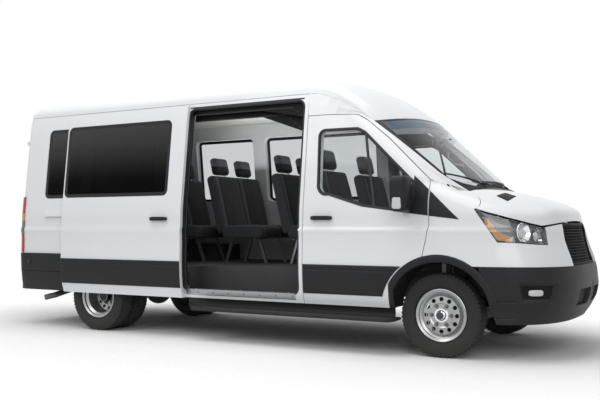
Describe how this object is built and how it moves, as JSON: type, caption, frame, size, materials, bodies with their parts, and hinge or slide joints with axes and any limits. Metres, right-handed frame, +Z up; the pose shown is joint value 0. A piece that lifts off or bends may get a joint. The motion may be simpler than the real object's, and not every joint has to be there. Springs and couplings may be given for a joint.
{
  "type": "passenger van",
  "caption": "Long-wheelbase passenger van with a hollow cabin, rows of seats, an open sliding side door, hinged front and rear doors, hinged hood, steering and twin rear wheels",
  "frame": {"origin": "on the road, under the middle of the van's length and width", "axes": "+X forward, +Y to the van's left, +Z up"},
  "size_m": [5.981, 2.474, 2.47],
  "materials": {
    "body_white": "gloss",
    "black_trim": "matte",
    "clear_glass": "gloss",
    "tinted_glass": "gloss",
    "lamp_clear": "gloss",
    "lamp_red": "gloss",
    "bare_metal": "satin",
    "cabin_grey": "matte",
    "seat_cloth": "matte",
    "underbody": "matte",
    "engine_metal": "matte",
    "exhaust_steel": "satin",
    "wheel_silver": "satin",
    "tyre_rubber": "matte"
  },
  "bodies": {
    "body": {"left_side": "body_white", "right_side": "body_white", "roof": "body_white", "cab_frame": "body_white", "front_wings": "body_white", "sliding_door": "body_white", "front_bumper": "black_trim", "rear_bumper": "black_trim", "grille": "black_trim", "body_cladding": "black_trim", "running_board": "black_trim", "sliding_door_trim": "black_trim", "cowl": "black_trim", "steering_wheel": "black_trim", "windscreen": "clear_glass", "side_windows": "tinted_glass", "sliding_door_glass": "tinted_glass", "headlamps": "lamp_clear", "tail_lamps": "lamp_red", "door_tracks": "bare_metal", "dashboard": "cabin_grey", "front_seats": "seat_cloth", "benches": "seat_cloth", "floor_pan": "underbody", "side_step": "underbody", "chassis_rails": "underbody", "front_axle": "underbody", "rear_axle": "underbody", "fuel_tank": "underbody", "engine": "engine_metal", "exhaust": "exhaust_steel"},
    "left_front_door": {"left_door": "body_white", "left_door_glass": "clear_glass", "left_door_trim": "black_trim"},
    "right_front_door": {"right_door": "body_white", "right_door_glass": "clear_glass", "right_door_trim": "black_trim"},
    "left_back_door": {"left_rear_door": "body_white", "left_rear_door_glass": "tinted_glass"},
    "right_back_door": {"right_rear_door": "body_white", "right_rear_door_glass": "tinted_glass"},
    "hood": {"hood": "body_white"},
    "left_steering": {"left_knuckle": "underbody"},
    "right_steering": {"right_knuckle": "underbody"},
    "front_left_wheel": {"front_left_rim": "wheel_silver", "front_left_tyre": "tyre_rubber"},
    "front_right_wheel": {"front_right_rim": "wheel_silver", "front_right_tyre": "tyre_rubber"},
    "rear_left_wheels": {"rear_left_rims": "wheel_silver", "rear_left_tyres": "tyre_rubber"},
    "rear_right_wheels": {"rear_right_rims": "wheel_silver", "rear_right_tyres": "tyre_rubber"}
  },
  "joints": [
    {"name": "left_front_door_hinge", "type": "hinge", "parent": "body", "child": "left_front_door", "pos_m": [1.8901, 1.0225, 1.098], "axis": [0, 0, -1], "range_deg": [0, 70]},
    {"name": "right_front_door_hinge", "type": "hinge", "parent": "body", "child": "right_front_door", "pos_m": [1.8901, -1.0225, 1.098], "axis": [0, 0, 1], "range_deg": [0, 70]},
    {"name": "left_back_door_hinge", "type": "hinge", "parent": "body", "child": "left_back_door", "pos_m": [-2.9185, 0.8835, 1.33], "axis": [0, 0, -1], "range_deg": [0, 180]},
    {"name": "right_back_door_hinge", "type": "hinge", "parent": "body", "child": "right_back_door", "pos_m": [-2.9185, -0.8835, 1.33], "axis": [0, 0, 1], "range_deg": [0, 180]},
    {"name": "hood_hinge", "type": "hinge", "parent": "body", "child": "hood", "pos_m": [2.1739, 0, 1.382], "axis": [0, -1, 0], "range_deg": [0, 50]},
    {"name": "steering", "type": "hinge", "parent": "body", "child": "left_steering", "pos_m": [1.9675, 0.735, 0.35], "axis": [0, 0, 1], "range_deg": [-35, 35]},
    {"name": "steering_right", "type": "hinge", "parent": "body", "child": "right_steering", "pos_m": [1.9675, -0.735, 0.35], "axis": [0, 0, 1], "range_deg": [-35, 35]},
    {"name": "front_left_spin", "type": "hinge", "parent": "left_steering", "child": "front_left_wheel", "pos_m": [1.9675, 0.866, 0.35], "axis": [0, 1, 0], "continuous": true},
    {"name": "front_right_spin", "type": "hinge", "parent": "right_steering", "child": "front_right_wheel", "pos_m": [1.9675, -0.866, 0.35], "axis": [0, 1, 0], "continuous": true},
    {"name": "rear_left_spin", "type": "hinge", "parent": "body", "child": "rear_left_wheels", "pos_m": [-1.7825, 0.906, 0.35], "axis": [0, 1, 0], "continuous": true},
    {"name": "rear_right_spin", "type": "hinge", "parent": "body", "child": "rear_right_wheels", "pos_m": [-1.7825, -0.906, 0.35], "axis": [0, 1, 0], "continuous": true}
  ],
  "couplings": [
    {"joint": "steering_right", "follows": "steering", "ratio": 1}
  ]
}
